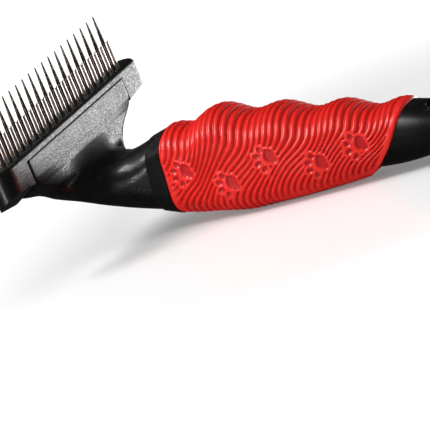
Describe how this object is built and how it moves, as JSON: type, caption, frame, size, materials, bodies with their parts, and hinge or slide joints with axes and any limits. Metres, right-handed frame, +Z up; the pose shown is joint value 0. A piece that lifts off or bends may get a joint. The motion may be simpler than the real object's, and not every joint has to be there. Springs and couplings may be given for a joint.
{
  "type": "dematting comb",
  "caption": "T-shaped dematting comb: one row of rolling steel pins, long and short by turns, on a fan head with a ribbed rubber grip and a hang hole.",
  "frame": {"origin": "centre of the footprint on the ground, at the lowest point of the grip, which lies flat with the pins pointing up", "axes": "+Z up, the way the pins point; +X from the pin row along the handle to the hang hole; Y along the row of pins"},
  "size_m": [0.1469, 0.0964, 0.0621],
  "materials": {
    "pin_steel": "polished stainless steel",
    "face_plate": "satin",
    "thrust_strip": "brushed",
    "head_plastic": "fine spark texture",
    "yoke_plastic": "fine spark texture on the fan, smooth at the neck",
    "collar_plastic": "satin",
    "core_plastic": "moulded",
    "dowel_steel": "ground",
    "screw_steel": "zinc plated",
    "grip_rubber": "soft moulded rubber, ribbed",
    "tail_plastic": "satin",
    "eyelet_trim": "polished"
  },
  "bodies": {
    "comb": {"bar_screws": "screw_steel", "collar": "collar_plastic", "core_left": "core_plastic", "core_right": "core_plastic", "core_screws": "screw_steel", "fan_yoke": "yoke_plastic", "grip_sleeve": "grip_rubber", "hang_eyelet": "eyelet_trim", "head_bar": "head_plastic", "pin_plate": "face_plate", "tail_cap": "tail_plastic", "tail_dowel": "dowel_steel", "tang_dowels": "dowel_steel", "thrust_strip": "thrust_strip"},
    "long_pin_01": {"long_pin_01": "pin_steel"},
    "long_pin_02": {"long_pin_02": "pin_steel"},
    "long_pin_03": {"long_pin_03": "pin_steel"},
    "long_pin_04": {"long_pin_04": "pin_steel"},
    "long_pin_05": {"long_pin_05": "pin_steel"},
    "long_pin_06": {"long_pin_06": "pin_steel"},
    "long_pin_07": {"long_pin_07": "pin_steel"},
    "long_pin_08": {"long_pin_08": "pin_steel"},
    "long_pin_09": {"long_pin_09": "pin_steel"},
    "long_pin_10": {"long_pin_10": "pin_steel"},
    "long_pin_11": {"long_pin_11": "pin_steel"},
    "long_pin_12": {"long_pin_12": "pin_steel"},
    "long_pin_13": {"long_pin_13": "pin_steel"},
    "long_pin_14": {"long_pin_14": "pin_steel"},
    "long_pin_15": {"long_pin_15": "pin_steel"},
    "long_pin_16": {"long_pin_16": "pin_steel"},
    "long_pin_17": {"long_pin_17": "pin_steel"},
    "long_pin_18": {"long_pin_18": "pin_steel"},
    "short_pin_01": {"short_pin_01": "pin_steel"},
    "short_pin_02": {"short_pin_02": "pin_steel"},
    "short_pin_03": {"short_pin_03": "pin_steel"},
    "short_pin_04": {"short_pin_04": "pin_steel"},
    "short_pin_05": {"short_pin_05": "pin_steel"},
    "short_pin_06": {"short_pin_06": "pin_steel"},
    "short_pin_07": {"short_pin_07": "pin_steel"},
    "short_pin_08": {"short_pin_08": "pin_steel"},
    "short_pin_09": {"short_pin_09": "pin_steel"},
    "short_pin_10": {"short_pin_10": "pin_steel"},
    "short_pin_11": {"short_pin_11": "pin_steel"},
    "short_pin_12": {"short_pin_12": "pin_steel"},
    "short_pin_13": {"short_pin_13": "pin_steel"},
    "short_pin_14": {"short_pin_14": "pin_steel"},
    "short_pin_15": {"short_pin_15": "pin_steel"},
    "short_pin_16": {"short_pin_16": "pin_steel"},
    "short_pin_17": {"short_pin_17": "pin_steel"},
    "short_pin_18": {"short_pin_18": "pin_steel"},
    "short_pin_19": {"short_pin_19": "pin_steel"}
  },
  "joints": [
    {"name": "long_pin_01_roll", "type": "hinge", "parent": "comb", "child": "long_pin_01", "pos_m": [-0.0685, -0.03995, 0.0443], "axis": [0, 0, 1], "range_deg": [-180, 180]},
    {"name": "long_pin_02_roll", "type": "hinge", "parent": "comb", "child": "long_pin_02", "pos_m": [-0.0685, -0.03525, 0.0443], "axis": [0, 0, 1], "range_deg": [-180, 180]},
    {"name": "long_pin_03_roll", "type": "hinge", "parent": "comb", "child": "long_pin_03", "pos_m": [-0.0685, -0.03055, 0.0443], "axis": [0, 0, 1], "range_deg": [-180, 180]},
    {"name": "long_pin_04_roll", "type": "hinge", "parent": "comb", "child": "long_pin_04", "pos_m": [-0.0685, -0.02585, 0.0443], "axis": [0, 0, 1], "range_deg": [-180, 180]},
    {"name": "long_pin_05_roll", "type": "hinge", "parent": "comb", "child": "long_pin_05", "pos_m": [-0.0685, -0.02115, 0.0443], "axis": [0, 0, 1], "range_deg": [-180, 180]},
    {"name": "long_pin_06_roll", "type": "hinge", "parent": "comb", "child": "long_pin_06", "pos_m": [-0.0685, -0.01645, 0.0443], "axis": [0, 0, 1], "range_deg": [-180, 180]},
    {"name": "long_pin_07_roll", "type": "hinge", "parent": "comb", "child": "long_pin_07", "pos_m": [-0.0685, -0.01175, 0.0443], "axis": [0, 0, 1], "range_deg": [-180, 180]},
    {"name": "long_pin_08_roll", "type": "hinge", "parent": "comb", "child": "long_pin_08", "pos_m": [-0.0685, -0.00705, 0.0443], "axis": [0, 0, 1], "range_deg": [-180, 180]},
    {"name": "long_pin_09_roll", "type": "hinge", "parent": "comb", "child": "long_pin_09", "pos_m": [-0.0685, -0.00235, 0.0443], "axis": [0, 0, 1], "range_deg": [-180, 180]},
    {"name": "long_pin_10_roll", "type": "hinge", "parent": "comb", "child": "long_pin_10", "pos_m": [-0.0685, 0.00235, 0.0443], "axis": [0, 0, 1], "range_deg": [-180, 180]},
    {"name": "long_pin_11_roll", "type": "hinge", "parent": "comb", "child": "long_pin_11", "pos_m": [-0.0685, 0.00705, 0.0443], "axis": [0, 0, 1], "range_deg": [-180, 180]},
    {"name": "long_pin_12_roll", "type": "hinge", "parent": "comb", "child": "long_pin_12", "pos_m": [-0.0685, 0.01175, 0.0443], "axis": [0, 0, 1], "range_deg": [-180, 180]},
    {"name": "long_pin_13_roll", "type": "hinge", "parent": "comb", "child": "long_pin_13", "pos_m": [-0.0685, 0.01645, 0.0443], "axis": [0, 0, 1], "range_deg": [-180, 180]},
    {"name": "long_pin_14_roll", "type": "hinge", "parent": "comb", "child": "long_pin_14", "pos_m": [-0.0685, 0.02115, 0.0443], "axis": [0, 0, 1], "range_deg": [-180, 180]},
    {"name": "long_pin_15_roll", "type": "hinge", "parent": "comb", "child": "long_pin_15", "pos_m": [-0.0685, 0.02585, 0.0443], "axis": [0, 0, 1], "range_deg": [-180, 180]},
    {"name": "long_pin_16_roll", "type": "hinge", "parent": "comb", "child": "long_pin_16", "pos_m": [-0.0685, 0.03055, 0.0443], "axis": [0, 0, 1], "range_deg": [-180, 180]},
    {"name": "long_pin_17_roll", "type": "hinge", "parent": "comb", "child": "long_pin_17", "pos_m": [-0.0685, 0.03525, 0.0443], "axis": [0, 0, 1], "range_deg": [-180, 180]},
    {"name": "long_pin_18_roll", "type": "hinge", "parent": "comb", "child": "long_pin_18", "pos_m": [-0.0685, 0.03995, 0.0443], "axis": [0, 0, 1], "range_deg": [-180, 180]},
    {"name": "short_pin_01_roll", "type": "hinge", "parent": "comb", "child": "short_pin_01", "pos_m": [-0.0685, -0.0423, 0.0443], "axis": [0, 0, 1], "range_deg": [-180, 180]},
    {"name": "short_pin_02_roll", "type": "hinge", "parent": "comb", "child": "short_pin_02", "pos_m": [-0.0685, -0.0376, 0.0443], "axis": [0, 0, 1], "range_deg": [-180, 180]},
    {"name": "short_pin_03_roll", "type": "hinge", "parent": "comb", "child": "short_pin_03", "pos_m": [-0.0685, -0.0329, 0.0443], "axis": [0, 0, 1], "range_deg": [-180, 180]},
    {"name": "short_pin_04_roll", "type": "hinge", "parent": "comb", "child": "short_pin_04", "pos_m": [-0.0685, -0.0282, 0.0443], "axis": [0, 0, 1], "range_deg": [-180, 180]},
    {"name": "short_pin_05_roll", "type": "hinge", "parent": "comb", "child": "short_pin_05", "pos_m": [-0.0685, -0.0235, 0.0443], "axis": [0, 0, 1], "range_deg": [-180, 180]},
    {"name": "short_pin_06_roll", "type": "hinge", "parent": "comb", "child": "short_pin_06", "pos_m": [-0.0685, -0.0188, 0.0443], "axis": [0, 0, 1], "range_deg": [-180, 180]},
    {"name": "short_pin_07_roll", "type": "hinge", "parent": "comb", "child": "short_pin_07", "pos_m": [-0.0685, -0.0141, 0.0443], "axis": [0, 0, 1], "range_deg": [-180, 180]},
    {"name": "short_pin_08_roll", "type": "hinge", "parent": "comb", "child": "short_pin_08", "pos_m": [-0.0685, -0.0094, 0.0443], "axis": [0, 0, 1], "range_deg": [-180, 180]},
    {"name": "short_pin_09_roll", "type": "hinge", "parent": "comb", "child": "short_pin_09", "pos_m": [-0.0685, -0.0047, 0.0443], "axis": [0, 0, 1], "range_deg": [-180, 180]},
    {"name": "short_pin_10_roll", "type": "hinge", "parent": "comb", "child": "short_pin_10", "pos_m": [-0.0685, 0, 0.0443], "axis": [0, 0, 1], "range_deg": [-180, 180]},
    {"name": "short_pin_11_roll", "type": "hinge", "parent": "comb", "child": "short_pin_11", "pos_m": [-0.0685, 0.0047, 0.0443], "axis": [0, 0, 1], "range_deg": [-180, 180]},
    {"name": "short_pin_12_roll", "type": "hinge", "parent": "comb", "child": "short_pin_12", "pos_m": [-0.0685, 0.0094, 0.0443], "axis": [0, 0, 1], "range_deg": [-180, 180]},
    {"name": "short_pin_13_roll", "type": "hinge", "parent": "comb", "child": "short_pin_13", "pos_m": [-0.0685, 0.0141, 0.0443], "axis": [0, 0, 1], "range_deg": [-180, 180]},
    {"name": "short_pin_14_roll", "type": "hinge", "parent": "comb", "child": "short_pin_14", "pos_m": [-0.0685, 0.0188, 0.0443], "axis": [0, 0, 1], "range_deg": [-180, 180]},
    {"name": "short_pin_15_roll", "type": "hinge", "parent": "comb", "child": "short_pin_15", "pos_m": [-0.0685, 0.0235, 0.0443], "axis": [0, 0, 1], "range_deg": [-180, 180]},
    {"name": "short_pin_16_roll", "type": "hinge", "parent": "comb", "child": "short_pin_16", "pos_m": [-0.0685, 0.0282, 0.0443], "axis": [0, 0, 1], "range_deg": [-180, 180]},
    {"name": "short_pin_17_roll", "type": "hinge", "parent": "comb", "child": "short_pin_17", "pos_m": [-0.0685, 0.0329, 0.0443], "axis": [0, 0, 1], "range_deg": [-180, 180]},
    {"name": "short_pin_18_roll", "type": "hinge", "parent": "comb", "child": "short_pin_18", "pos_m": [-0.0685, 0.0376, 0.0443], "axis": [0, 0, 1], "range_deg": [-180, 180]},
    {"name": "short_pin_19_roll", "type": "hinge", "parent": "comb", "child": "short_pin_19", "pos_m": [-0.0685, 0.0423, 0.0443], "axis": [0, 0, 1], "range_deg": [-180, 180]}
  ]
}
